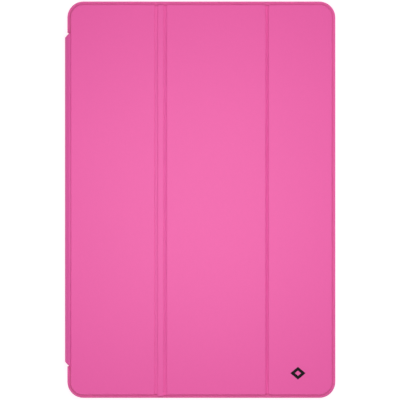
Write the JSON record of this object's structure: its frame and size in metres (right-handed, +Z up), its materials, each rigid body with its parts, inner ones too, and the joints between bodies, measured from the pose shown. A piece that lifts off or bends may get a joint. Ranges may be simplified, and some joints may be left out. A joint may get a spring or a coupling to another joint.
{
  "type": "tablet case",
  "caption": "Tri-fold folio case for an 11-inch-class tablet: hard tray, leather spine and a folding padded cover with a soft lining.",
  "frame": {"origin": "middle of the outline, on the surface the closed case lies on", "axes": "+X from the spine to the cover's free edge, +Y along the length to the camera end, +Z up out of the front cover"},
  "size_m": [0.1788, 0.262, 0.0121],
  "materials": {
    "cover_leather": "satin",
    "tray_plastic": "satin",
    "microfibre": "matte",
    "stiffener": "matte",
    "magnet_metal": "polished",
    "steel": "brushed",
    "badge": "gloss"
  },
  "bodies": {
    "rear_shell": {"rear_shell": "tray_plastic", "shell_magnets": "magnet_metal", "back_tab_skin": "cover_leather", "rear_crease_skin": "cover_leather"},
    "spine": {"spine_skin": "cover_leather", "spine_board": "stiffener", "spine_lining": "microfibre", "front_crease_skin": "cover_leather", "front_crease_lining": "microfibre"},
    "panel_1": {"panel_1_skin": "cover_leather", "panel_1_board": "stiffener", "panel_1_lining": "microfibre", "stand_plates": "steel", "crease_1_skin": "cover_leather", "crease_1_lining": "microfibre"},
    "fold_strip": {"fold_strip_skin": "cover_leather", "fold_strip_board": "stiffener", "fold_strip_lining": "microfibre", "crease_2_skin": "cover_leather", "crease_2_lining": "microfibre"},
    "panel_2": {"panel_2_skin": "cover_leather", "panel_2_board": "stiffener", "panel_2_lining": "microfibre", "crease_3_skin": "cover_leather", "crease_3_lining": "microfibre"},
    "panel_3": {"panel_3_skin": "cover_leather", "panel_3_board": "stiffener", "panel_3_lining": "microfibre", "closing_magnets": "magnet_metal", "wake_magnet": "magnet_metal", "emblem": "badge"}
  },
  "joints": [
    {"name": "rear_crease", "type": "hinge", "parent": "rear_shell", "child": "spine", "pos_m": [-0.08852, 0, 0.00093], "axis": [0, -1, 0], "range_deg": [0, 90], "deforming": ["rear_crease_skin"]},
    {"name": "front_crease", "type": "hinge", "parent": "spine", "child": "panel_1", "pos_m": [-0.08805, 0, 0.01075], "axis": [0, -1, 0], "range_deg": [0, 90], "deforming": ["front_crease_skin", "front_crease_lining"]},
    {"name": "crease_1", "type": "hinge", "parent": "panel_1", "child": "fold_strip", "pos_m": [-0.02895, 0, 0.0122], "axis": [0, -1, 0], "range_deg": [0, 90], "deforming": ["crease_1_skin", "crease_1_lining"]},
    {"name": "crease_2", "type": "hinge", "parent": "fold_strip", "child": "panel_2", "pos_m": [-0.02305, 0, 0.0122], "axis": [0, -1, 0], "range_deg": [0, 90], "deforming": ["crease_2_skin", "crease_2_lining"]},
    {"name": "crease_3", "type": "hinge", "parent": "panel_2", "child": "panel_3", "pos_m": [0.04415, 0, 0.0122], "axis": [0, -1, 0], "range_deg": [0, 180], "deforming": ["crease_3_skin", "crease_3_lining"]}
  ]
}
